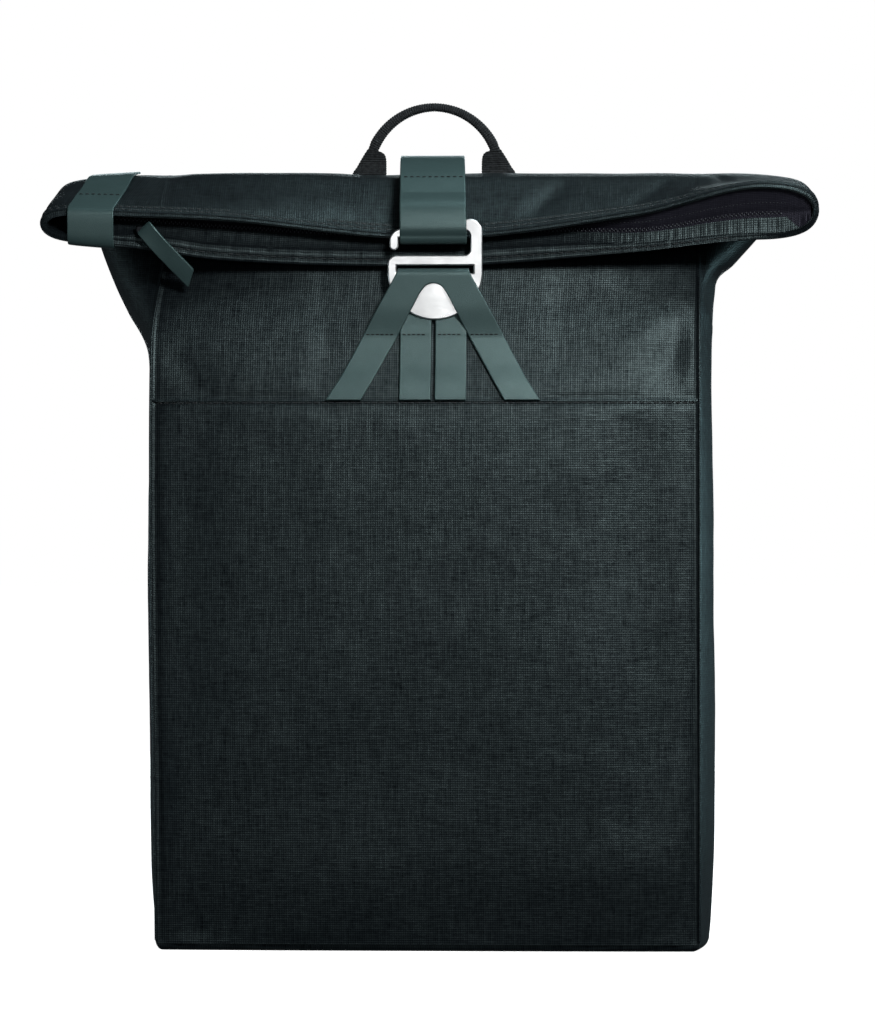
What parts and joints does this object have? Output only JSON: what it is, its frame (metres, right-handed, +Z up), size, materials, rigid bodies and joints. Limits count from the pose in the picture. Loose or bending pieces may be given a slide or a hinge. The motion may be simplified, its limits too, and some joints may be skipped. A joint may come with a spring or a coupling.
{
  "type": "laptop backpack",
  "caption": "Tall soft backpack with a forward-rolled zipped top, held down by a leather strap, a flat metal hook and a forked leather strap on its front.",
  "frame": {"origin": "middle of the overall plan on the floor under the base", "axes": "+Z up, front towards -Y, +X to the right of someone who faces the front"},
  "size_m": [0.444, 0.1648, 0.4884],
  "materials": {
    "cloth": "matt melange plain weave",
    "leather": "smooth grained leather with a soft sheen",
    "webbing": "ribbed webbing",
    "metal": "satin nickel",
    "zip": "matt zip tape and nylon coil",
    "plastic": "moulded matt black"
  },
  "bodies": {
    "root": {"base_panel": "cloth", "pocket_panel": "cloth", "upper_front_panel": "cloth", "gusset_left": "cloth", "gusset_right": "cloth", "back_panel": "cloth", "roll_top": "cloth", "closure_strap": "leather", "hook": "metal", "forked_strap": "leather", "carry_handle": "webbing", "zip_tape": "zip", "zip_teeth": "zip", "zip_slider": "metal", "zip_puller": "leather", "end_tab": "leather", "shoulder_pad_left": "cloth", "shoulder_pad_right": "cloth", "strap_webbing_left": "webbing", "strap_webbing_right": "webbing", "strap_adjuster_left": "plastic", "strap_adjuster_right": "plastic"}
  },
  "joints": []
}
